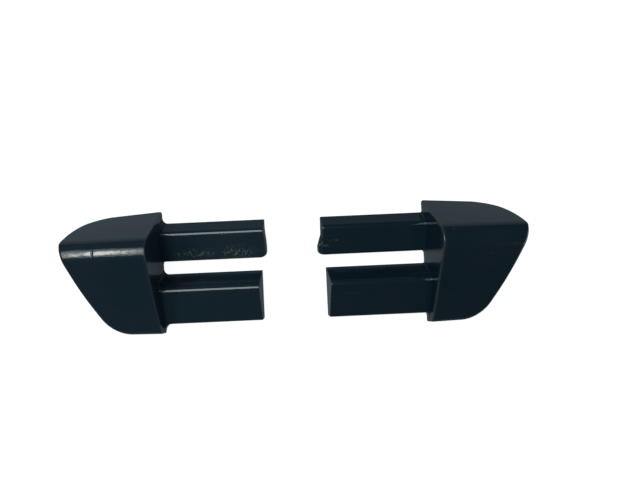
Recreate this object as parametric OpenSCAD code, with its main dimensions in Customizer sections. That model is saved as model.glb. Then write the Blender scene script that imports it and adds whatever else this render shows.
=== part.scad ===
// A pair of moulded skate blade guards: a left-hand and a right-hand end piece.
// Each is one moulding: a hollow wedge-shaped nose closed by a flat end wall, from which two
// flat prongs reach towards the other guard. The blade lies in the slot between the prongs.
// Millimetres. X runs along the blade, Y across it and Z up. The pair is mirrored about X = 0
// and rests on Z = 0. In one guard, u is the distance from its end wall towards its nose, and
// v is the distance across from the foot of its steep face.

/* [Nose] */
// Width of a guard, from the foot of the steep face to the foot of the far wall
cap_w = 48.4; // [40:0.1:60]
// Length of the nose, from the end wall to the tip
nose_len = 32.9; // [26:0.1:42]
// Length of the nose along its far wall, before its corner is rounded
far_len = 19.2; // [15:0.1:24]
// Distance of the tip from the foot of the steep face
tip_v = 12.4; // [11:0.1:18]
// How far the slanted front bows out at its middle
front_bow = 1.5; // [0.2:0.1:2]
// Length of the bevel that takes the steep side in to the tip
bevel_len = 13.5; // [10:0.1:18]
// Angle of that bevel, in degrees
bevel_deg = 22; // [15:0.5:28]
// Radius of the long bend where the bevel starts
bevel_r = 42; // [20:1:60]
// Radius of the corner between the bevel and the tip
steep_corner_r = 8; // [5:0.1:10]
// Radius of the rounded corner between the slanted front and the far wall
far_corner_r = 12; // [6:0.1:14]
// Radius of the tip
tip_r = 1.5; // [0.5:0.1:3]

/* [Roof] */
// Height where the steep and the gentle face would meet, before the ridge is rounded
ridge_h = 27.9; // [22:0.1:34]
// Distance of that line from the foot of the steep face
ridge_v = 14; // [11:0.1:18]
// Radius of the ridge
ridge_r = 6.2; // [3:0.1:8]
// Height of the far wall at the end wall
far_h = 7.2; // [6:0.1:9]
// How far the far wall leans in over its height
far_lean = 1; // [0:0.1:2]
// Radius of the edge between the gentle face and the far wall
far_edge_r = 3; // [1:0.1:4]
// How steeply the roof falls from the end wall towards the tip, in degrees
fall = 8; // [0:0.5:10]

/* [Walls] */
// Thickness of the nose's skin and of the end wall
wall = 2.5; // [1.8:0.1:3.2]
// Thickness of the two inner ribs
rib_t = 1.8; // [1.2:0.1:2.5]
// How far the ribs stop short of the resting plane
rib_lift = 1; // [0:0.1:2]

/* [Prongs] */
// Distance of the narrow prong from the foot of the steep face
prong_v = 5; // [3.5:0.1:7]
// Width of the narrow prong
narrow_w = 15.1; // [12:0.1:18.5]
// Length of the narrow prong
narrow_len = 40.6; // [30:0.1:50]
// Width of the narrow prong's steep band
narrow_band = 4.2; // [3:0.1:6]
// Height of the narrow prong at its crease
narrow_h = 5.6; // [4:0.1:7]
// Height of the narrow prong at its slot edge
narrow_edge_h = 2.8; // [2.2:0.1:3.6]
// Width of the slot that the blade lies in
slot_w = 5; // [4.2:0.1:6]
// Length of the wide prong
wide_len = 39.1; // [30:0.1:50]
// Width of the wide prong's steep band
wide_band = 5.5; // [4:0.1:7]
// Height of the wide prong at its crease
wide_h = 10; // [8:0.1:12]
// Height of the wide prong at its far edge
wide_edge_h = 4.2; // [3.2:0.1:5.2]
// Step between the wide prong and the far wall
far_step = 4; // [2.5:0.1:6]
// Height of the upright side under a prong's steep band
foot_h = 1; // [0.5:0.1:1.5]
// Radius of the crease between a prong's steep and gentle bands
crease_r = 1.8; // [0.4:0.1:2.4]
// Radius of a prong's outer edge, opposite its steep band
prong_edge_r = 1.4; // [0.5:0.1:2]
// Backward lean of the prongs' end faces, in degrees
end_draft = 6.5; // [0:0.5:8]
// Radius of the narrow prong's corner beside the slot, seen from above
slot_corner_r = 2; // [1:0.1:2.6]
// Width of the nub that this corner stands on
nub_w = 4.8; // [4:0.1:6]
// How far the nub stands out from the left narrow prong's end
left_nub = 0.7; // [0.2:0.1:1.8]
// How far the nub stands out from the right narrow prong's end
right_nub = 1.6; // [0.2:0.1:1.8]
// Size of the gusset at the root of the left wide prong
gusset = 3.6; // [2:0.1:3.9]

/* [Pair] */
// Gap between the two narrow prongs' ends, beside their nubs
pair_gap = 22; // [15:0.1:40]

/* [Hidden] */

reach = 100;                                       // longer than the part, for cutting solids
sink = 10;                                         // how far the roof's section runs below Z = 0
arc_steps = 8;                                     // straight steps in each rounded corner
wall_x = pair_gap / 2 + narrow_len;                // from the middle of the pair to an end wall
slot_v = prong_v + narrow_w;                       // where the slot starts
wide_v = slot_v + slot_w;                          // where the wide prong starts
wide_w = cap_w - far_step - wide_v;                // what is left for the wide prong
far_slope = far_lean / far_h;
steep_slope = ridge_v / ridge_h;
rib_pitch = (cap_w - 2 * wall) / 3;                // the ribs divide the hollow into three
bevel_side = bevel_len / cos(bevel_deg);
bevel_v = bevel_len * tan(bevel_deg);              // how far the bevel goes in
front_u = (nose_len + far_len) / 2;                // the middle of the slanted front's chord
front_v = (tip_v + cap_w) / 2;
front_half = norm([nose_len - far_len, cap_w - tip_v]) / 2;
front_out = front_bow / front_half / 2;            // the bow as a share of the chord
front_r = 0.4 * front_half * front_half / front_bow;
long_bend_r = min(bevel_r, 0.6 * bevel_side / tan(bevel_deg / 2));
corner_turn = 90 - bevel_deg;
short_bend_r = min(steep_corner_r, 0.38 * bevel_side / tan(corner_turn / 2),
                   0.9 * (tip_v - bevel_v) / tan(corner_turn / 2));

left = -1;
right = 1;

function unit(v) = v / norm(v);

// The points that round the corner b, between the sides to a and c, with the radius r.
function corner(a, b, c, r) =
    r == 0 ? [b] :
    let (p = unit(a - b),
         q = unit(c - b),
         half = acos(p * q) / 2,
         centre = b + unit(p + q) * r / sin(half),
         from = b + p * r / tan(half) - centre,
         to = b + q * r / tan(half) - centre,
         start = atan2(from.y, from.x),
         turn = (atan2(to.y, to.x) - start + 540) % 360 - 180)
    [for (i = [0 : arc_steps])
        centre + r * [cos(start + turn * i / arc_steps), sin(start + turn * i / arc_steps)]];

// A polygon's points with each corner rounded by its own radius.
function rounded(points, radii) =
    let (n = len(points))
    [for (i = [0 : n - 1])
        each corner(points[(i + n - 1) % n], points[i], points[(i + 1) % n], radii[i])];

// The nose from above, in u and v.
module nose_outline() {
    polygon(rounded(
        [[0, 0], [nose_len - bevel_len, 0], [nose_len, bevel_v], [nose_len, tip_v],
         [front_u + front_out * (cap_w - tip_v), front_v + front_out * (nose_len - far_len)],
         [far_len, cap_w], [0, cap_w]],
        [0, long_bend_r, short_bend_r, tip_r, front_r, far_corner_r, 0]));
}

// The roof across the nose, in v and height. It runs on below the resting plane.
module roof_section() {
    polygon(rounded(
        [[-sink * steep_slope, -sink],
         [ridge_v, ridge_h],
         [cap_w - far_lean, far_h],
         [cap_w + sink * far_slope, -sink]],
        [0, ridge_r, far_edge_r, 0]));
}

// Lays a section in v and height along u, from start to end.
module along_u(start, end) {
    translate([start, 0, 0]) rotate([90, 0, 90]) linear_extrude(end - start) children();
}

// The nose as one closed solid, or with an inset the hollow inside it, open at the bottom.
module nose_solid(inset = 0) {
    intersection() {
        translate([0, 0, -inset])
            linear_extrude(ridge_h + inset) offset(delta = -inset) nose_outline();
        rotate([0, fall, 0]) along_u(-reach, reach)
            offset(delta = -inset) scale_heights() roof_section();
    }
}

// The fall tips the roof's section over, which makes it taller at the end wall: this undoes that.
module scale_heights() {
    scale([1, cos(fall)]) children();
}

// Everything between two distances from the end wall.
module between_u(start, end) {
    translate([start, -reach / 2, -reach / 2]) cube([end - start, 2 * reach, reach * 2]);
}

module nose_shell() {
    difference() {
        nose_solid();
        nose_solid(wall);
        between_u(-1, wall);
    }
}

module end_wall() {
    intersection() {
        nose_solid();
        between_u(0, wall);
    }
}

// A rib along the nose, which fills the hollow between two distances across.
module rib(v) {
    intersection() {
        nose_solid(wall);
        translate([wall, v - rib_t / 2, rib_lift]) cube([nose_len, rib_t, ridge_h]);
    }
}

// A prong's section: an upright foot, a steep band up to the crease, and a gentle band down
// to the rounded outer edge.
module prong_section(v, w, band, h, edge_h) {
    polygon(rounded(
        [[v, 0], [v, foot_h], [v + band, h], [v + w, edge_h], [v + w, 0]],
        [0, 0, crease_r, min(prong_edge_r, edge_h / 2), 0]));
}

// A prong, with its end face leaning back. Its children draw the end from above, where u = 0 is
// the end face, and everything inwards of it.
module prong(v, w, length, band, h, edge_h) {
    intersection() {
        along_u(-length - sink, 0) prong_section(v, w, band, h, edge_h);
        translate([-length, 0, 0]) rotate([0, end_draft, 0])
            translate([0, 0, -sink]) linear_extrude(3 * sink) children();
    }
}

// The narrow prong's end stands out in a nub beside the slot.
module narrow_prong(nub) {
    nub_v = slot_v - nub_w;
    prong(prong_v, narrow_w, narrow_len, narrow_band, narrow_h, narrow_edge_h)
        polygon(rounded(
            [[0, prong_v], [0, nub_v], [-nub, nub_v + nub], [-nub, slot_v],
             [reach, slot_v], [reach, prong_v]],
            [0, nub, nub, slot_corner_r, 0, 0]));
}

module wide_prong() {
    prong(wide_v, wide_w, wide_len, wide_band, wide_h, wide_edge_h)
        translate([0, wide_v]) square([reach, wide_w]);
}

// A hollow-curved gusset between the wide prong's outer side and the end wall.
module root_gusset() {
    height = wide_edge_h - prong_edge_r;
    translate([-gusset, wide_v + wide_w, 0]) difference() {
        cube([gusset, gusset, height]);
        translate([0, gusset, -1]) cylinder(h = height + 2, r = gusset, $fn = 64);
    }
}

// Puts a piece of a guard in its place in the pair: v = 0 is the guard's +Y side.
module place(side) {
    translate([side * wall_x, cap_w / 2, 0])
        mirror([side == left ? 1 : 0, 0, 0]) mirror([0, 1, 0]) children();
}

module left_nose_shell() { color([0.10, 0.14, 0.17]) place(left) nose_shell(); }
module left_end_wall() { color([0.06, 0.10, 0.13]) place(left) end_wall(); }
module left_narrow_prong() { color([0.13, 0.17, 0.20]) place(left) narrow_prong(left_nub); }
module left_wide_prong() {
    color([0.13, 0.17, 0.20]) place(left) {
        wide_prong();
        root_gusset();
    }
}
module left_ridge_rib() { color([0.16, 0.20, 0.24]) place(left) rib(wall + rib_pitch); }
module left_slope_rib() { color([0.16, 0.20, 0.24]) place(left) rib(wall + 2 * rib_pitch); }

module right_nose_shell() { color([0.10, 0.14, 0.17]) place(right) nose_shell(); }
module right_end_wall() { color([0.06, 0.10, 0.13]) place(right) end_wall(); }
module right_narrow_prong() { color([0.13, 0.17, 0.20]) place(right) narrow_prong(right_nub); }
module right_wide_prong() { color([0.13, 0.17, 0.20]) place(right) wide_prong(); }
module right_ridge_rib() { color([0.16, 0.20, 0.24]) place(right) rib(wall + rib_pitch); }
module right_slope_rib() { color([0.16, 0.20, 0.24]) place(right) rib(wall + 2 * rib_pitch); }

left_nose_shell();
left_end_wall();
left_narrow_prong();
left_wide_prong();
left_ridge_rib();
left_slope_rib();
right_nose_shell();
right_end_wall();
right_narrow_prong();
right_wide_prong();
right_ridge_rib();
right_slope_rib();
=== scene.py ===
# %% [markdown]
# # A pair of skate blade guards
# The object is two plastic mouldings, a left-hand and a right-hand one. Each has a hollow
# wedge-shaped nose with a flat end wall, and two flat prongs that reach towards the other guard.
# The CAD model fixes every size and place. This script only makes the finished surfaces: rounded
# edges, fillets, the plastic and its wear. The frame is loaded first, because all else hangs on it.

import math

import bpy
import numpy as np
from mathutils import Matrix, Vector


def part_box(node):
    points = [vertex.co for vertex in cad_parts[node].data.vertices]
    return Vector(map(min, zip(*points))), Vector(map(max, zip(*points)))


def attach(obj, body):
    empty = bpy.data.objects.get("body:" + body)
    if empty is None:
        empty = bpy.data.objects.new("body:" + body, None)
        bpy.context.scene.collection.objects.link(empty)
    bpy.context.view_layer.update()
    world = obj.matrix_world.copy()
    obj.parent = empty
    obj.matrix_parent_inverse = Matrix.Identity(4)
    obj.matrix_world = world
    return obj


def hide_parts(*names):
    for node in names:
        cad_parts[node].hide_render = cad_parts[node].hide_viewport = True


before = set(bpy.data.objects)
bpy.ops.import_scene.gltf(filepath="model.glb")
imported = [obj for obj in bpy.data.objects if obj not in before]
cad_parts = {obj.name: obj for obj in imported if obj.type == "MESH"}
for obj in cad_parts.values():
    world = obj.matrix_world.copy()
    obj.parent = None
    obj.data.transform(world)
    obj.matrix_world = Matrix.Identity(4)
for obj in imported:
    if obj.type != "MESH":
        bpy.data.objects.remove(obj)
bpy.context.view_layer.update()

# %% [markdown]
# Sizes come from the CAD nodes' boxes wherever a box can give them. In one guard, u is the
# distance from the end wall towards the nose, and v is the distance across from the foot of the
# steep face. The slopes and radii that no box gives are named here, in metres.

# %% Sizes
MM = 0.001
wall_low, wall_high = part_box("right_end_wall")
nose_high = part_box("right_nose_shell")[1]
narrow_low, narrow_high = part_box("right_narrow_prong")
wide_low, wide_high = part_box("right_wide_prong")

WALL_X = wall_low.x
STEEP_Y = wall_high.y
CAP_W = wall_high.y - wall_low.y
WALL = wall_high.x - wall_low.x
NOSE_LEN = nose_high.x - WALL_X

RIDGE_H = 27.9 * MM
RIDGE_V = 14 * MM
RIDGE_R = 6.2 * MM
FAR_H = 7.2 * MM
FAR_LEAN = 1 * MM
FAR_LEN = 19.2 * MM
TIP_V = 12.4 * MM
FRONT_BOW = 1.5 * MM
BEVEL_LEN = 13.5 * MM
BEVEL_TURN = math.radians(22)
FALL = math.tan(math.radians(8))
STEEP = RIDGE_H / RIDGE_V
GENTLE = (RIDGE_H - FAR_H) / (CAP_W - FAR_LEAN - RIDGE_V)
print(f"nose {NOSE_LEN / MM:.1f} x {CAP_W / MM:.1f} mm, end wall {WALL / MM:.1f} mm thick")

# %% [markdown]
# Every piece here is a closed skin made of rings: a loop of points that is carried along, swelling
# or shrinking, with its first and last ring closed on one point. So one builder makes them all.
# It joins neighbouring rings with four-sided faces, and turns the faces round if the volume they
# enclose comes out negative, so that they always point outwards.

# %% Build a closed skin from rings
PIECES = []
CUBIC_CM = 1e-6


def ring_faces(ring_count, loop_count):
    """Quads between neighbouring rings, then a fan of triangles to a pole at each end."""
    ring, step = np.meshgrid(np.arange(ring_count - 1), np.arange(loop_count), indexing="ij")
    after = (step + 1) % loop_count
    here, there = ring * loop_count, (ring + 1) * loop_count
    quads = np.stack([here + step, here + after, there + after, there + step], -1).reshape(-1, 4)
    steps, afters = np.arange(loop_count), (np.arange(loop_count) + 1) % loop_count
    pole, last = ring_count * loop_count, (ring_count - 1) * loop_count
    first_fan = np.stack([np.full(loop_count, pole), afters, steps], -1)
    last_fan = np.stack([np.full(loop_count, pole + 1), last + steps, last + afters], -1)
    return quads, np.concatenate([first_fan, last_fan])


def enclosed_volume(points, quads, triangles):
    """A sixth of the sum of a . (b x c) over the triangles: positive if they face outwards."""
    halves = [quads[:, [0, 1, 2]], quads[:, [0, 2, 3]], triangles]
    a, b, c = (points[np.concatenate(halves)][:, k] for k in range(3))
    return float(np.sum(a * np.cross(b, c)) / 6)


def ring_solid(name, rings, wear_and_highlight):
    """A closed mesh from rings (ring, point, xyz), with each point's wear and painted rim
    highlight, from 0 to 1.
    """
    ring_count, loop_count = rings.shape[:2]
    poles = np.stack([rings[0].mean(0), rings[-1].mean(0)])
    points = np.concatenate([rings.reshape(-1, 3), poles])
    quads, triangles = ring_faces(ring_count, loop_count)
    volume = enclosed_volume(points, quads, triangles)
    if volume < 0:
        quads, triangles = quads[:, ::-1], triangles[:, ::-1]
    mesh = bpy.data.meshes.new(name)
    mesh.from_pydata(points.tolist(), [], quads.tolist() + triangles.tolist())
    mesh.shade_smooth()
    # This attribute holds wear, and along each nose's rim it also holds a painted highlight.
    rub = mesh.attributes.new("rub", "FLOAT", "POINT")
    rub.data.foreach_set("value", np.append(wear_and_highlight.ravel(), [0.0, 0.0]).astype(np.float32))
    piece = bpy.data.objects.new(name, mesh)
    bpy.context.scene.collection.objects.link(piece)
    PIECES.append(piece)
    faces = len(quads) + len(triangles)
    print(f"{name}: {faces} faces, {abs(volume) / CUBIC_CM:.2f} cubic centimetres")
    return piece


quads, fans = ring_faces(3, 4)
print(f"3 rings of 4 points take {len(quads)} quads and {len(fans)} triangles")

# %% [markdown]
# A moulded edge is never sharp. A loop is drawn by its corners, and each corner becomes an arc
# that touches both of its sides. Points crowd near the arcs, so that smooth shading stays flat on
# the sides and turns only at the corners.

# %% Loops with rounded corners
def crowded(count):
    """Numbers from 0 up to, but not reaching, 1 that crowd at both ends: (1 - cos pi t) / 2."""
    return (1 - np.cos(np.pi * (np.arange(count) + 0.5) / count)) / 2


def unit(vectors):
    """Vectors divided by their own lengths."""
    return vectors / np.linalg.norm(vectors, axis=-1, keepdims=True)


def rounded_loop(corners, radii, arc_steps, side_steps):
    """Loops (ring, point, 2) with round corners, from corners (ring, corner, 2).

    At a corner with half angle h, the arc's centre lies r / sin h along the bisector, and the arc
    starts and ends r / tan h along the two sides.
    """
    to_last = unit(np.roll(corners, 1, 1) - corners)
    to_next = unit(np.roll(corners, -1, 1) - corners)
    half = np.arccos(np.sum(to_last * to_next, -1, keepdims=True)) / 2
    radii = np.broadcast_to(radii, corners.shape[:2])[..., None]
    centre = corners + unit(to_last + to_next) * radii / np.sin(half)
    start = corners + to_last * radii / np.tan(half)
    end = corners + to_next * radii / np.tan(half)
    start_angle = np.arctan2(*(np.moveaxis(start - centre, -1, 0)[::-1]))
    end_angle = np.arctan2(*(np.moveaxis(end - centre, -1, 0)[::-1]))
    turn = (end_angle - start_angle + np.pi) % (2 * np.pi) - np.pi
    share = np.linspace(0, 1, arc_steps)
    parts = []
    for c, steps in enumerate(side_steps):
        angle = start_angle[:, c, None] + turn[:, c, None] * share
        arc = np.stack([np.cos(angle), np.sin(angle)], -1)
        parts.append(centre[:, c, None] + radii[:, c, None] * arc)
        onward = np.roll(start, -1, 1)[:, c, None] - end[:, c, None]
        parts.append(end[:, c, None] + onward * crowded(steps)[None, :, None])
    return np.concatenate(parts, 1)


square = np.array([[[0.0, 0.0], [2.0, 0.0], [2.0, 2.0], [0.0, 2.0]]])
circle = rounded_loop(square, 1.0, 9, [2, 2, 2, 2])[0]
spread = np.ptp(np.linalg.norm(circle - 1, axis=1))
print(f"a 2 by 2 square with corners of radius 1 is a circle, to within {spread:.1e}")

# %% [markdown]
# A moulding's walls are as thick on one side as on the next, or thicker by plan. So a loop has to
# move inwards by a chosen amount on each side. Scaling it down would leave the walls uneven, so
# each corner is put where its two moved sides cross. Edge radii vary from side to side as well.

# %% Values and insets round a loop
def per_side(values, arc_steps, side_steps):
    """One number for each point of a loop: a side's own value, blended along the arcs."""
    before = np.roll(values, 1)
    parts = []
    for c, steps in enumerate(side_steps):
        parts += [np.linspace(before[c], values[c], arc_steps), np.full(steps, values[c])]
    return np.concatenate(parts)


def inset_corners(corners, insets):
    """Corners moved in so that each side of the loop (point, 2) shifts by its own inset."""
    along = unit(np.roll(corners, -1, 0) - corners)
    inward = np.stack([-along[:, 1], along[:, 0]], -1)
    pairs = np.stack([np.roll(inward, 1, 0), inward], 1)
    shifts = np.stack([np.roll(insets, 1), insets], -1)
    return corners + np.linalg.solve(pairs, shifts[..., None])[..., 0]


def rolled(distance, radius):
    """How far a rounded edge has dropped at a distance in from it: r - sqrt(r^2 - (r - d)^2)."""
    radius = np.maximum(radius, 1e-9)
    short = np.clip(radius - distance, 0, radius)
    return radius - np.sqrt(radius**2 - short**2)


inner = inset_corners(square[0], np.full(4, 0.5))
print(f"the square moved in by 0.5 is {np.ptp(inner[:, 0]):.2f} wide")
print(f"an edge of radius 1 has dropped {float(rolled(0.5, 1.0)):.3f} at 0.5 in from it")

# %% [markdown]
# The roof of the nose is two flat faces that meet in a rounded ridge, all falling 8 degrees
# towards the tip. Written as a height over the plan, it is one short formula. Its underside is
# the same formula with every face moved in by the wall's thickness.

# %% The roof
STEEP_ANGLE, GENTLE_ANGLE = math.atan(STEEP), math.atan(GENTLE)
RIDGE_RUN = RIDGE_R * math.tan((STEEP_ANGLE + GENTLE_ANGLE) / 2)
RIDGE_START = RIDGE_V - RIDGE_RUN * math.cos(STEEP_ANGLE)
ARC_V = RIDGE_START + RIDGE_R * math.sin(STEEP_ANGLE)
ARC_Z = STEEP * RIDGE_START - RIDGE_R * math.cos(STEEP_ANGLE)


def roof(u, v, inset=0.0):
    """Height of the roof: steep face, ridge arc or gentle face by v, less the fall times u."""
    radius = RIDGE_R - inset
    steep = STEEP * v - inset * math.hypot(1, STEEP)
    gentle = RIDGE_H - GENTLE * (v - RIDGE_V) - inset * math.hypot(1, GENTLE)
    arc = ARC_Z + np.sqrt(np.maximum(radius**2 - (v - ARC_V) ** 2, 0))
    arc_start = ARC_V - radius * math.sin(STEEP_ANGLE)
    arc_end = ARC_V + radius * math.sin(GENTLE_ANGLE)
    return np.where(v < arc_start, steep, np.where(v > arc_end, gentle, arc)) - FALL * u


print(f"ridge arc from v = {RIDGE_START / MM:.2f} mm, top {float(roof(0, ARC_V)) / MM:.2f} mm")

# %% [markdown]
# From above, the nose is a seven-cornered outline: the slanted front has a corner in its middle,
# because it bows out in one long arc. A curve object could be drawn and extruded, but corners with
# their own radii give the same outline and can be moved in side by side, for the hollow.

# %% The nose's outline
FOOT = 0.15 * MM
BEND_U = (NOSE_LEN - BEVEL_LEN) * math.tan(BEVEL_TURN) / (math.tan(BEVEL_TURN) - FALL / STEEP)
TIP = np.array([NOSE_LEN, TIP_V])
FAR_CORNER = np.array([FAR_LEN, CAP_W])
FRONT_HALF = np.linalg.norm(FAR_CORNER - TIP) / 2
FRONT_OUT = np.array([CAP_W - TIP_V, NOSE_LEN - FAR_LEN]) / FRONT_HALF / 2
FRONT_R = 0.4 * FRONT_HALF**2 / FRONT_BOW
OUTLINE = np.array([
    [0, FOOT],
    [BEND_U, FOOT + BEND_U * FALL / STEEP],
    [NOSE_LEN, BEVEL_LEN * math.tan(BEVEL_TURN)],
    TIP,
    (TIP + FAR_CORNER) / 2 + FRONT_OUT * FRONT_BOW,
    FAR_CORNER,
    [0, CAP_W],
])
OUTLINE_RADII = np.array([0.9 * MM, 28 * MM, 8 * MM, 1.5 * MM, FRONT_R, 12 * MM, 0.6 * MM])
EDGE_RADII = np.array([0.02, 0.4, 0.8, 1.1, 1.1, 1.2, 0.02]) * MM
RIM_R = 0.45 * MM
LEAST_R = 0.4 * MM
NOSE_ARC, NOSE_SIDES = 18, [44, 10, 14, 30, 30, 30, 120]
HUB = np.array([12 * MM, 24 * MM])


def nose_loop(insets):
    """The outline with its sides moved in, as (point, 2). Corner radii shrink with the inset."""
    radii = np.maximum(OUTLINE_RADII - np.minimum(insets, np.roll(insets, 1)), LEAST_R)
    corners = inset_corners(OUTLINE, np.asarray(insets, float))
    return rounded_loop(corners[None], radii, NOSE_ARC, NOSE_SIDES)[0]


def distance_to_path(points, path, values):
    """Distance from points to an open path, and the path's own value at the nearest place."""
    start, along = path[:-1], np.diff(path, axis=0)
    offset = points[:, None] - start
    share = np.clip(np.sum(offset * along, -1) / np.sum(along**2, -1), 0, 1)
    gap = np.linalg.norm(offset - share[..., None] * along, axis=-1)
    nearest = gap.argmin(1)
    rows = np.arange(len(points))
    between = share[rows, nearest]
    value = values[nearest] * (1 - between) + values[nearest + 1] * between
    return gap[rows, nearest], value


outline = nose_loop([0] * 7)
print(f"outline of {len(outline)} points, front bowed to a radius of {FRONT_R / MM:.0f} mm")

# %% [markdown]
# The nose is a hollow shell, open underneath. Its skin is a chain of rings with that outline: from
# a point on the roof out to the edge, over the rounded edge, down the walls, under the rim, up
# inside and back to a point under the roof. A bevel would round every edge alike, and these edges
# are rounder at the tip than at the end wall. So the roof is dropped near the outline instead, by
# the drop of a circle at that distance, and the circle's radius changes along the way.

# %% The nose's rings
ROOF_RINGS, INNER_RINGS = 60, 30
ROOF_SPREAD, INNER_SPREAD = 1.9, 1.4
SOLE_R = 0.3 * MM
INNER_R = 0.05 * MM
STEEP_INSET = 2.95 * MM
ROOF_EDGE_DROP = 2 * MM


def roof_rings(loop, edge_radii, shares, inset, rim_r):
    """Rings of (u, v, z) from the loop, where a share is 0, in to the hub, where it is 1."""
    path = slice(NOSE_ARC // 2, len(loop) - NOSE_SIDES[-1])
    rings = []
    for share in shares:
        plan = loop + (HUB - loop) * share
        edge, radius = distance_to_path(plan, loop[path], edge_radii[path])
        height = roof(plan[:, 0], plan[:, 1], inset) - rolled(edge, radius)
        height -= rolled(plan[:, 0] - loop[:, 0].min(), rim_r)
        rings.append(np.column_stack([plan, np.maximum(height, 2 * SOLE_R)]))
    return np.stack(rings)


def nose_rings():
    """Every ring of the nose, from the hub on the roof to the hub under it, in u, v and z.

    Between the roof's edge and the sole, a wall point moves from one outline to the other in
    step with its height. Round the rim's sole it follows a quarter circle.
    """
    lean = FAR_LEAN / FAR_H * (FAR_H - ROOF_EDGE_DROP)
    top = nose_loop([0, 0, 0, 0, 0, lean, 0])
    sole = nose_loop([0] * 7)
    edge_radii = per_side(EDGE_RADII, NOSE_ARC, NOSE_SIDES)
    shares = (np.arange(ROOF_RINGS) / ROOF_RINGS) ** ROOF_SPREAD
    outer = roof_rings(top, edge_radii, shares, 0.0, RIM_R)[::-1]
    edge_z = outer[-1][:, 2]
    walls = []
    for part in np.linspace(0.1, 1, 8):
        z = edge_z + (SOLE_R - edge_z) * part
        walls.append(np.column_stack([top + (sole - top) * (1 - z / edge_z)[:, None], z]))
    for angle in np.radians([30, 60, 90]):
        plan = nose_loop([SOLE_R * (1 - math.cos(angle))] * 7)
        walls.append(np.column_stack([plan, np.full(len(plan), SOLE_R * (1 - math.sin(angle)))]))
    lip = nose_loop([STEEP_INSET - SOLE_R] + [WALL - SOLE_R] * 6)
    walls.append(np.column_stack([lip, np.zeros(len(lip))]))
    hollow = nose_loop([STEEP_INSET] + [WALL] * 6)
    inner_radii = np.full(len(hollow), INNER_R)
    shares = (np.arange(INNER_RINGS) / INNER_RINGS) ** INNER_SPREAD
    inner = roof_rings(hollow, inner_radii, shares, WALL, INNER_R)
    for part in (0, 0.3, 0.6, 0.9):
        z = SOLE_R + (inner[0][:, 2] - SOLE_R) * part
        walls.append(np.column_stack([hollow, z]))
    return np.concatenate([outer, np.stack(walls), inner])


NOSE = nose_rings()
print(f"{NOSE.shape[0]} rings of {NOSE.shape[1]} points, {NOSE[..., 2].max() / MM:.1f} mm high")

# %% [markdown]
# The left nose is the right one mirrored. A mirror modifier would copy the rim's pale line too, and
# that line differs between the two rims: it is partly wear and partly painted highlight, stronger
# on the right rim, whose end wall faces the light. So the same rings are placed twice, each time
# with their own pale line.

# %% The two noses
RIM_REACH = 0.6 * MM
RIM_LOW = 1 * MM


def placed(rings, side):
    """Rings of (u, v, z) put in their place in the pair, for side -1, left, or 1, right."""
    x = side * (WALL_X + rings[..., 0])
    return np.stack([x, STEEP_Y - rings[..., 1], rings[..., 2]], -1)


def rim_wear_and_highlight(rings, reach):
    """Wear and painted highlight along the rim over the end wall: exp(-(u / reach)^2), for points
    near the roof.
    """
    u, v, z = np.moveaxis(rings, -1, 0)
    below = (roof(u, v) - z) / (2 * reach)
    return np.exp(-((u / reach) ** 2) - below**2) * (z > RIM_LOW)


SIDES = {"left": -1, "right": 1}
# Painted highlight: the pale line along each rim is partly wear and partly a highlight painted in.
# It is stronger on the right rim, whose end wall faces the light.
RIM_WEAR_AND_HIGHLIGHT = {"left": 0.3, "right": 0.8}
for word, side in SIDES.items():
    wear_and_highlight = RIM_WEAR_AND_HIGHLIGHT[word] * rim_wear_and_highlight(NOSE, RIM_REACH)
    nose = ring_solid(f"{word}_nose", placed(NOSE, side), wear_and_highlight)
    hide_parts(f"{word}_nose_shell", f"{word}_end_wall")
    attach(nose, f"{word}_guard")

# %% [markdown]
# A prong is one section carried along its length: an upright foot, a steep band up to the crease,
# and a gentle band down to a rounded edge. Near the end wall its sides flare out, as a mould's
# corners do, and at the free end its edges roll over. Both are changes to the section's corners
# with the distance along the prong, so the whole prong is still one chain of rings. The narrow
# prong ends in a nub beside the slot, made by carrying the rings near the end on past it.

# %% The prongs' rings
PRONG_ARC, PRONG_SIDES = 9, [4, 14, 56, 10, 30]
CREASE_R = 1.8 * MM
END_R = 0.3 * MM
END_DRAFT = math.tan(math.radians(6.5))
IN_WALL = [0.9 * MM, 0.4 * MM]
ROOT_RUN, END_RUN, NUB_FADE = 4.2 * MM, 4 * MM, 6 * MM
LEAST_SIDE = 0.6 * MM
FOOT_R, STEP_R, FAR_FOOT_R = 0.2 * MM, 0.25 * MM, 0.25 * MM
END_WEAR, END_WEAR_REACH = 0.25, 0.7 * MM


def flare(u, radius):
    """How far a fillet of a radius stands out at u, from nothing at -radius to it all at 0."""
    radius = max(radius, 1e-9)
    return rolled(np.clip(-u, 0, None), radius)


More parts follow.
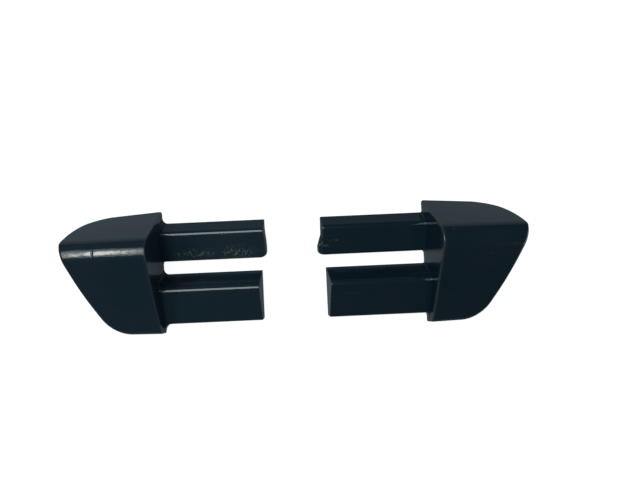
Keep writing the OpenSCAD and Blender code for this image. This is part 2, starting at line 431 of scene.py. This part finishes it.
def prong_rings(spec):
    """Rings of (u, v, z) for a prong, from inside the end wall to the middle of its end face."""
    length = spec["length"]
    root = -crowded(18) * ROOT_RUN
    shaft = -np.linspace(ROOT_RUN + 0.4 * MM, length - END_RUN - 0.2 * MM, 12)
    end = -length + END_RUN * (1 - np.sin(np.linspace(0, math.pi / 2, 26)))
    u = np.concatenate([IN_WALL, root, shaft, end])
    to_end = np.clip(u + length, 0, None)
    roll = rolled(to_end, END_R)
    near = spec["v"] - flare(u, spec["near_fillet"]) + roll
    far = spec["v"] + spec["width"] + flare(u, spec["far_fillet"]) - roll
    far = far - rolled(to_end, spec["end_corner_r"])
    crease_v = spec["v"] + spec["band"]
    slope = (spec["height"] - spec["edge_height"]) / (spec["width"] - spec["band"])
    crease_z = spec["height"] + flare(u, spec["top_fillet"]) - roll
    far_z = crease_z - slope * (far - crease_v)
    near_z = spec["foot"] + flare(u, spec["top_fillet"]) - roll
    ones = np.ones_like(u)
    corners = np.stack([
        np.stack([near, roll], -1),
        np.stack([near, np.maximum(near_z, roll + LEAST_SIDE)], -1),
        np.stack([crease_v * ones, crease_z], -1),
        np.stack([far, far_z], -1),
        np.stack([far, roll], -1),
    ], 1)
    radii = np.array([FOOT_R, STEP_R, CREASE_R, spec["edge_r"], FAR_FOOT_R])
    loops = rounded_loop(corners, radii, PRONG_ARC, PRONG_SIDES)
    v, z = loops[..., 0], loops[..., 1]
    past = np.clip((v - spec["nub_v"]) / spec["nub_run"], 0, 1)
    weight = np.clip(1 - to_end / NUB_FADE, 0, 1)[:, None] ** 2
    back = z * END_DRAFT * np.clip(-u / length, 0, 1)[:, None]
    back = back - spec["nub"] * past * past * (3 - 2 * past) * weight
    rings = np.stack([u[:, None] + back, v, z], -1)
    closing = np.linspace(0.2, 0.98, 7)[:, None, None]
    middle = rings[-1].mean(0)
    return np.concatenate([rings, rings[-1] + (middle - rings[-1]) * closing])


def prong_wear(rings, spec):
    """Wear at the free end, where the prong is pushed about: most exp(-(distance / reach)^2)."""
    return END_WEAR * np.exp(-(((rings[..., 0] + spec["length"]) / END_WEAR_REACH) ** 2))


stand = flare(np.array([0, -1, -2]) * MM, 2 * MM) / MM
print(f"a 2 mm fillet stands out {stand.round(2)} mm at 0, 1 and 2 mm from the end wall")

# %% [markdown]
# The two prongs differ only in their sizes, and so do the left and right guards: the left narrow
# prong has a lower, wider nub, and the left wide prong a bigger root fillet. So a prong is a
# dictionary of sizes, and the left guard's own sizes are laid over the shared ones.

# %% The four prongs
NARROW = {
    "v": STEEP_Y - narrow_high.y,
    "width": narrow_high.y - narrow_low.y,
    "length": 40.6 * MM,
    "height": 5.6 * MM,
    "band": 4.2 * MM,
    "edge_height": 2.8 * MM,
    "foot": 1 * MM,
    "edge_r": 1.2 * MM,
    "near_fillet": 0.6 * MM,
    "far_fillet": 0.9 * MM,
    "top_fillet": 0.05 * MM,
    "end_corner_r": 1.8 * MM,
    "nub": 1.55 * MM,
    "nub_v": 14.9 * MM,
    "nub_run": 1.6 * MM,
}
WIDE = {
    "v": STEEP_Y - wide_high.y,
    "width": wide_high.y - wide_low.y,
    "length": WALL_X - wide_low.x,
    "height": 10 * MM,
    "band": 5.5 * MM,
    "edge_height": 4.2 * MM,
    "foot": 1 * MM,
    "edge_r": 1.4 * MM,
    "near_fillet": 0.5 * MM,
    "far_fillet": 1.3 * MM,
    "top_fillet": 0.05 * MM,
    "end_corner_r": 0.5 * MM,
    "nub": 0.0,
    "nub_v": 0.0,
    "nub_run": 1 * MM,
}
LEFT_WAYS = {
    "narrow_prong": {
        "near_fillet": 2.4 * MM,
        "far_fillet": 0.7 * MM,
        "end_corner_r": 2.4 * MM,
        "nub": 0.65 * MM,
        "nub_v": 7 * MM,
        "nub_run": 9 * MM,
    },
    "wide_prong": {"near_fillet": 2.0 * MM, "far_fillet": 3.2 * MM},
}
for word, side in SIDES.items():
    for node, spec in (("narrow_prong", NARROW), ("wide_prong", WIDE)):
        if word == "left":
            spec = {**spec, **LEFT_WAYS[node]}
        rings = prong_rings(spec)
        prong = ring_solid(f"{word}_{node}_skin", placed(rings, side), prong_wear(rings, spec))
        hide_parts(f"{word}_{node}")
        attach(prong, f"{word}_guard")

# %% [markdown]
# Two ribs stiffen the hollow under each nose. A rib is a thin upright plate, which a box cut to
# the roof could make too, but rings need no cutting and stay clean. So its rings are rounded
# upright strips that follow the roof, carried from the end wall to the slanted front.

# %% The ribs
RIB_T = 1.8 * MM
RIB_LIFT = 1 * MM
RIB_BITE = 0.3 * MM


def rib_rings(v):
    """Rings of (u, v, z) for a rib: a strip with round lower edges that follows the roof.

    It bites a little into the end wall and the roof, so that no gap shows.
    """
    node_low, node_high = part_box("right_ridge_rib" if v < CAP_W / 2 else "right_slope_rib")
    length = node_high.x - WALL_X + RIB_BITE
    u = WALL - RIB_BITE + (length - WALL) * np.linspace(0, 1, 40)
    top = roof(u, v, WALL) + RIB_BITE
    half = RIB_T / 2
    ones = np.ones_like(u)
    corners = np.stack([
        np.stack([(v - half) * ones, RIB_LIFT * ones], -1),
        np.stack([(v - half) * ones, top], -1),
        np.stack([(v + half) * ones, top], -1),
        np.stack([(v + half) * ones, RIB_LIFT * ones], -1),
    ], 1)
    loops = rounded_loop(corners, np.array([0.5, 0.1, 0.1, 0.5]) * MM, 6, [16, 4, 16, 6])
    return np.concatenate([np.broadcast_to(u[:, None, None], loops.shape[:2] + (1,)), loops], -1)


RIB_PITCH = (CAP_W - 2 * WALL) / 3
for word, side in SIDES.items():
    for node, v in (("ridge_rib", WALL + RIB_PITCH), ("slope_rib", WALL + 2 * RIB_PITCH)):
        rings = rib_rings(v)
        rib = ring_solid(f"{word}_{node}_plate", placed(rings, side), np.zeros(rings.shape[:2]))
        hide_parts(f"{word}_{node}")
        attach(rib, f"{word}_guard")

# %% [markdown]
# A material is a tree of nodes. Painted images would stretch over the curved noses and turn
# coarse close up, so every finish here is worked out from noise on the object's own coordinates,
# which sits still on the pieces. One small class adds the nodes, so that the finishes can be
# written as short sums.

# %% Helpers for materials
class Finish:
    """A new material's node tree, with a method for each kind of node that the finishes need."""

    def __init__(self, name):
        self.material = bpy.data.materials.new(name)
        self.material.use_nodes = True
        self.tree = self.material.node_tree
        self.tree.nodes.clear()
        self.place = self.add("ShaderNodeTexCoord").outputs["Object"]

    def add(self, kind, **settings):
        """A node, with its own settings or its inputs' plain values given by name."""
        made = self.tree.nodes.new(kind)
        for key, value in settings.items():
            if key in made.inputs:
                made.inputs[key].default_value = value
            else:
                setattr(made, key, value)
        return made

    def fill(self, socket, value):
        """Link a node's output to a socket, or set the socket to a plain value."""
        if isinstance(value, bpy.types.NodeSocket):
            self.tree.links.new(value, socket)
        else:
            socket.default_value = value

    def mapping(self, **settings):
        """The object's coordinates, shifted, turned and scaled."""
        made = self.add("ShaderNodeMapping", **settings)
        self.fill(made.inputs["Vector"], self.place)
        return made.outputs["Vector"]

    def noise(self, scale, detail, rough=0.55, source=None):
        """Noise with a scale in cycles a metre, or on coordinates that are scaled already."""
        made = self.add("ShaderNodeTexNoise", Scale=scale, Detail=detail, Roughness=rough)
        self.fill(made.inputs["Vector"], source or self.place)
        return made.outputs["Fac"]

    def ramp(self, source, low, high, to_low=0.0, to_high=1.0):
        """A value carried from the range low to high on to another one, and held at its ends."""
        made = self.add("ShaderNodeMapRange")
        names = ("Value", "From Min", "From Max", "To Min", "To Max")
        for key, value in zip(names, (source, low, high, to_low, to_high)):
            self.fill(made.inputs[key], value)
        return made.outputs["Result"]

    def maths(self, operation, a, b):
        """One operation, such as ADD or MULTIPLY, on two values."""
        made = self.add("ShaderNodeMath", operation=operation)
        self.fill(made.inputs[0], a)
        self.fill(made.inputs[1], b)
        return made.outputs["Value"]

    def mix(self, kind, share, low, high):
        """A colour, RGBA, or a number, FLOAT: low where the share is 0 and high where it is 1."""
        made = self.add("ShaderNodeMix", data_type=kind)
        sockets = [socket for socket in made.inputs if socket.enabled]
        for socket, value in zip(sockets, (share, low, high)):
            self.fill(socket, value)
        return next(socket for socket in made.outputs if socket.enabled)

    def length(self, vector):
        """The length of a vector: the square root of x^2 + y^2 + z^2."""
        made = self.add("ShaderNodeVectorMath", operation="LENGTH")
        self.fill(made.inputs[0], vector)
        return made.outputs["Value"]

    def reach_from(self, centre, size):
        """Distance from a centre, as a share of an ellipsoid's half-sizes."""
        shift = tuple(-c / s for c, s in zip(centre, size))
        return self.length(self.mapping(Location=shift, Scale=tuple(1 / s for s in size)))

    def surface(self, inputs):
        """A Principled shader with its inputs linked or set, as the material's surface."""
        shader = self.add("ShaderNodeBsdfPrincipled")
        for key, value in inputs.items():
            self.fill(shader.inputs[key], value)
        output = self.add("ShaderNodeOutputMaterial")
        self.fill(output.inputs["Surface"], shader.outputs["BSDF"])
        print(f"{self.material.name}: {len(self.tree.nodes)} nodes")
        return self.material


# %% [markdown]
# Handling marks the plastic. It gets fine scratches, scuffed and chipped patches where the prongs
# rub, worn edges, and here and there a dent, and the pale line along each rim is painted highlight
# as well as wear. Each mark is a number from 0 to 1 over the surface.
# The marks then do two jobs: they show as a paler colour, and they raise or sink the surface by
# a few microns, which a bump node turns into the way the surface catches light.

# %% Marks of handling
SCRATCH_SCALE, SCRATCH_TURN = (120, 2600, 900), math.radians(7)
CHIP_SCALE = 1100
WAVE_SCALE, RIPPLE_SCALE = 170, (170, 460, 460)
MICRON = 1e-6
WAVE_H, RIPPLE_H, RIDGE_RIPPLE_H = 50 * MICRON, 20 * MICRON, 80 * MICRON
DENT_H, SCUFF_H, SCRATCH_H = 150 * MICRON, 20 * MICRON, 12 * MICRON
SPECKLE_H, GRAIN_H = 2.5 * MICRON, 1 * MICRON


def scratched(finish, drift):
    """Noise drawn out into long thin streaks, kept where the drift is high."""
    drawn = finish.mapping(Scale=SCRATCH_SCALE, Rotation=(0, 0, SCRATCH_TURN))
    streaks = finish.ramp(finish.noise(1, 3, 0.6, drawn), 0.66, 0.74)
    return finish.maths("MULTIPLY", streaks, finish.ramp(drift, 0.45, 0.62))


def scuffed(finish, rub, speckle, scuffs):
    """Edge wear and the rims' painted highlight broken up by the speckle, or chips in patches that
    fade towards their rims.
    """
    scuff_and_rim_highlight = finish.maths("MULTIPLY", rub, finish.ramp(speckle, 0.35, 0.65, 0.30, 0.55))
    chips = finish.ramp(finish.noise(CHIP_SCALE, 4, 0.75), 0.51, 0.62)
    for centre, size in scuffs:
        patch = finish.ramp(finish.reach_from(centre, size), 1.0, 0.35)
        scuff_and_rim_highlight = finish.maths("MAXIMUM", scuff_and_rim_highlight, finish.maths("MULTIPLY", patch, chips))
    return scuff_and_rim_highlight


def relief(finish, ridge, dents, marks):
    """The surface's normals, from its height.

    The height is waves, plus ripples that are stronger at the ridge, less the dents, plus each
    mark times its own height.
    """
    ripples = finish.noise(1, 2, source=finish.mapping(Scale=RIPPLE_SCALE))
    uneven = finish.ramp(finish.reach_from(*ridge), 1.0, 0.6, RIPPLE_H, RIDGE_RIPPLE_H)
    height = finish.maths("MULTIPLY", finish.noise(WAVE_SCALE, 3), WAVE_H)
    height = finish.maths("ADD", height, finish.maths("MULTIPLY", ripples, uneven))
    for centre, size in dents:
        dent = finish.ramp(finish.reach_from(centre, size), 1.0, 0.0)
        height = finish.maths("SUBTRACT", height, finish.maths("MULTIPLY", dent, DENT_H))
    for mark, tall in marks:
        height = finish.maths("ADD", height, finish.maths("MULTIPLY", mark, tall))
    bump = finish.add("ShaderNodeBump", Strength=1.0, Distance=1.0)
    finish.fill(bump.inputs["Height"], height)
    return bump.outputs["Normal"]


print(f"heights from {GRAIN_H / MICRON:.0f} to {DENT_H / MICRON:.0f} microns")

# %% [markdown]
# The plastic is a blue-black, slightly glossy moulded grade. Its colour drifts a little over the
# surface between a deep tone and a smokier one, and fine speckle and grain break up the
# reflections. Both tones are painted a shade paler on the left guard than on the right one, as
# painted light for the left guard catching more of the light, so each gets its own material from
# the same function.

# %% The plastic
# Painted light: the left guard's tones are paler and the right guard's darker, to stand in for the
# left guard catching more light. The plastic itself is the same.
DEEP_WITH_PAINTED_LIGHT = {"left": (0.0066, 0.0200, 0.0310, 1), "right": (0.0038, 0.0150, 0.0245, 1)}
SMOKY_WITH_PAINTED_LIGHT = {"left": (0.0108, 0.0212, 0.0335, 1), "right": (0.0066, 0.0158, 0.0262, 1)}
PALE = (0.095, 0.115, 0.100, 1)
DRIFT_SCALE, SPECKLE_SCALE, GRAIN_SCALE = 70, 900, 3800
SCUFF_AND_RIM_HIGHLIGHT_SHOW, SCRATCH_SHOW, SCUFF_ROUGH = 0.8, 0.20, 0.25
PLASTIC_IOR = 1.5


def plastic(name, deep_with_painted_light, smoky_with_painted_light, ridge, scuffs, dents):
    """Moulded plastic with drift, grain and scratches.

    It is less even along the ridge, and has scuffs and dents at the given places. A place is a
    centre and the half-sizes of an ellipsoid.
    """
    finish = Finish(name)
    rub = finish.add("ShaderNodeAttribute", attribute_name="rub").outputs["Fac"]
    drift = finish.noise(DRIFT_SCALE, 3)
    speckle = finish.noise(SPECKLE_SCALE, 3, 0.7)
    grain = finish.noise(GRAIN_SCALE, 2, 0.6)
    scratch = scratched(finish, drift)
    scuff_and_rim_highlight = scuffed(finish, rub, speckle, scuffs)
    # The two tones carry each guard's painted light, paler on the left guard.
    colour = finish.mix("RGBA", finish.ramp(drift, 0.35, 0.68), deep_with_painted_light, smoky_with_painted_light)
    colour = finish.mix("RGBA", finish.ramp(speckle, 0.3, 0.8, 0.0, 0.25), colour, smoky_with_painted_light)
    # This pale colour paints the rims' highlight as well as the scuffs and worn edges.
    colour = finish.mix("RGBA", finish.maths("MULTIPLY", scuff_and_rim_highlight, SCUFF_AND_RIM_HIGHLIGHT_SHOW), colour, PALE)
    colour = finish.mix("RGBA", finish.maths("MULTIPLY", scratch, SCRATCH_SHOW), colour, PALE)
    satin = finish.ramp(speckle, 0.3, 0.7, 0.13, 0.17)
    marks = [(grain, GRAIN_H), (speckle, SPECKLE_H), (scratch, -SCRATCH_H), (scuff_and_rim_highlight, -SCUFF_H)]
    return finish.surface({
        "Base Color": colour,
        "Roughness": finish.maths("ADD", satin, finish.maths("MULTIPLY", scuff_and_rim_highlight, SCUFF_ROUGH)),
        "IOR": PLASTIC_IOR,
        "Normal": relief(finish, ridge, dents, marks),
    })


# %% [markdown]
# Each guard has marks of its own. The left narrow prong has two long scuffs, the right one has two
# short ones near its free end, and each ridge has one dent. They could be painted on, but a centre
# and a size say enough for marks as plain as these, and are easy to change.

# %% Where each guard is marked
def spot(word, u, v, z):
    """A place on a guard, given as u, v and z in millimetres, in the pair's own frame."""
    return (SIDES[word] * (WALL_X + u * MM), STEEP_Y - v * MM, z * MM)


RIDGE_SIZE = (22 * MM, 5 * MM, 8 * MM)
SCUFFS = {
    "left": [
        (spot("left", -30, 17.3, 4), (9 * MM, 3.2 * MM, 4 * MM)),
        (spot("left", -13, 17.3, 4), (10 * MM, 2.4 * MM, 4 * MM)),
    ],
    "right": [
        (spot("right", -39.5, 16.7, 4), (3 * MM, 0.8 * MM, 3 * MM)),
        (spot("right", -36.5, 14.4, 5), (3 * MM, 0.7 * MM, 3 * MM)),
        (spot("right", 4, 12.8, 24), (0.8 * MM, 0.5 * MM, 2 * MM)),
    ],
}
DENTS = {
    "left": [(spot("left", 19.3, 16.2, 21), (0.6 * MM, 4 * MM, 6 * MM))],
    "right": [(spot("right", 4, 12.8, 24), (0.9 * MM, 0.6 * MM, 2 * MM))],
}
print("scuffs and dents:", {word: (len(SCUFFS[word]), len(DENTS[word])) for word in SIDES})

# %% [markdown]
# A guard is one moulding, so all its pieces share one material, and all of them fill the material
# slot that the record names. The CAD nodes get the same one, in case any of them is shown.

# %% Put the plastic on
PLASTICS = {}
for word in SIDES:
    ridge = (spot(word, 16, 16.5, 22), RIDGE_SIZE)
    PLASTICS[word] = plastic(f"guard_plastic_{word}", DEEP_WITH_PAINTED_LIGHT[word], SMOKY_WITH_PAINTED_LIGHT[word], ridge,
                             SCUFFS[word], DENTS[word])
for piece in PIECES:
    word = piece.name.split("_")[0]
    piece.data.materials.append(PLASTICS[word])
for name, cad_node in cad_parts.items():
    cad_node.data.materials.clear()
    cad_node.data.materials.append(PLASTICS[name.split("_")[0]])

# %% [markdown]
# The guards lie on a pale floor, like a table, which lights the steep faces and the end walls from
# below. It is white to the eye but greyer in the plastic, and darker far off, as a real table is
# that only gets its light near the object. An evenly white one would be simpler, but the glossy
# faces would mirror all of it and turn grey.

# %% The floor
FLOOR_SIZE = 4.0
FLOOR_GAP = 0.0001
FLOOR_NEAR = (0.195, 0.230, 0.262, 1.0)
FLOOR_FAR = (0.03, 0.036, 0.042, 1.0)
FLOOR_GLOW, FLOOR_WHITE = (0.85, 1.0, 1.15, 1.0), (1.0, 1.0, 1.0, 1.0)
GLOW_IN_PLASTIC, GLOW_TO_EYE = 0.06, 0.93
NEAR_EDGE, FAR_EDGE = 0.10, 0.45


def pale_floor():
    """A flat square floor just under the object, white to the eye and greyer in reflections."""
    half = FLOOR_SIZE / 2
    mesh = bpy.data.meshes.new("floor")
    corners = [(-half, -half), (half, -half), (half, half), (-half, half)]
    mesh.from_pydata([(x, y, -FLOOR_GAP) for x, y in corners], [], [(0, 1, 2, 3)])
    floor = bpy.data.objects.new("floor", mesh)
    bpy.context.scene.collection.objects.link(floor)
    finish = Finish("floor_white")
    near = finish.ramp(finish.length(finish.place), FAR_EDGE, NEAR_EDGE)
    seen = finish.add("ShaderNodeLightPath").outputs["Is Camera Ray"]
    glow = finish.mix("FLOAT", near, 0.0, GLOW_IN_PLASTIC)
    mesh.materials.append(finish.surface({
        "Base Color": finish.mix("RGBA", near, FLOOR_FAR, FLOOR_NEAR),
        "Roughness": 0.9,
        "Specular IOR Level": 0.1,
        "Emission Color": finish.mix("RGBA", seen, FLOOR_GLOW, FLOOR_WHITE),
        "Emission Strength": finish.mix("FLOAT", seen, glow, GLOW_TO_EYE),
    }))


pale_floor()

# %% [markdown]
# Four softboxes light the plastic. A large and a small one high on the left make the soft band
# along the left ridge and its bright core. One nearly overhead draws the thin lines along the left
# creases, and a wide low one on the right fills in. Small lamps would need less care, but glossy
# plastic mirrors a small lamp as a hard dot and a softbox as a band with soft ends.

# %% The lights
def softbox(name, direction, distance, size, power, tint):
    """An area light that faces the object's middle. Its height stays in line with world Y."""
    data = bpy.data.lights.new(name, "AREA")
    data.shape = "RECTANGLE"
    data.size, data.size_y = size
    data.energy = power
    data.color = tint
    light = bpy.data.objects.new(name, data)
    bpy.context.scene.collection.objects.link(light)
    aim = Vector(direction).normalized()
    across = Vector((0, 1, 0)).cross(aim).normalized()
    light.location = aim * distance
    light.rotation_euler = Matrix((across, aim.cross(across), aim)).transposed().to_euler()
    print(f"{name}: {power} W, {distance} m away, {size[0]} by {size[1]} m")


def aimed(left, back):
    """The direction of a light that leans so many degrees to the left and to the back."""
    return (-math.tan(math.radians(left)), math.tan(math.radians(back)), 1.0)


WARM, COOL, SKY = (0.95, 1.0, 0.90), (0.93, 1.0, 0.97), (0.90, 0.97, 1.0)
softbox("ridge_softbox", aimed(41, 15), 0.80, (0.28, 0.56), 1.2, COOL)
softbox("window_softbox", aimed(41, 13), 0.79, (0.075, 0.25), 0.95, WARM)
softbox("crease_softbox", aimed(11, 8), 0.75, (0.26, 0.50), 2.5, COOL)
softbox("fill_softbox", (1.0, -0.25, 0.24), 0.90, (0.46, 0.8), 1.9, SKY)

# %% [markdown]
# Round it all stands a pale studio. Real walls would have to be built and lit, so the world's even
# colour stands in for them: nearly white to the camera, but weak as a light, so that the softboxes
# and the floor shape the plastic.

# %% The studio round them
ROOM_LIGHT, ROOM_SEEN = 0.055, 0.95
world = bpy.data.worlds.new("studio")
world.use_nodes = True
backdrop = world.node_tree.nodes["Background"]
backdrop.inputs["Color"].default_value = (0.93, 0.97, 1.0, 1)
seen = world.node_tree.nodes.new("ShaderNodeLightPath").outputs["Is Camera Ray"]
glow = world.node_tree.nodes.new("ShaderNodeMapRange")
glow.inputs["To Min"].default_value = ROOM_LIGHT
glow.inputs["To Max"].default_value = ROOM_SEEN
world.node_tree.links.new(seen, glow.inputs["Value"])
world.node_tree.links.new(glow.outputs["Result"], backdrop.inputs["Strength"])
bpy.context.scene.world = world
bpy.context.scene.view_settings.view_transform = "Standard"
print(f"studio: {ROOM_LIGHT} as light, {ROOM_SEEN} to the eye")

# %% [markdown]
# The camera looks straight down from close by, so the end walls show on their inner sides. It is
# turned by a degree or two, as a camera held by hand is, and its shift frames the pair.

# %% Camera
CAMERA_PLACE = (-0.00292, 0.00630, 0.18519)
CAMERA_TURN = (math.radians(1.33), 0, math.radians(-2.57))
SENSOR_WIDTH, LENS = 36, 26.15
SHIFT_X = 0.053
camera_data = bpy.data.cameras.new("camera")
camera_data.sensor_width = SENSOR_WIDTH
camera_data.lens = LENS
camera_data.shift_x = SHIFT_X
camera_data.clip_start = 0.01
camera = bpy.data.objects.new("camera", camera_data)
camera.location = CAMERA_PLACE
camera.rotation_euler = CAMERA_TURN
bpy.context.scene.collection.objects.link(camera)
bpy.context.scene.camera = camera
print(f"camera {CAMERA_PLACE[2] / MM:.0f} mm above the floor, lens {LENS} mm")
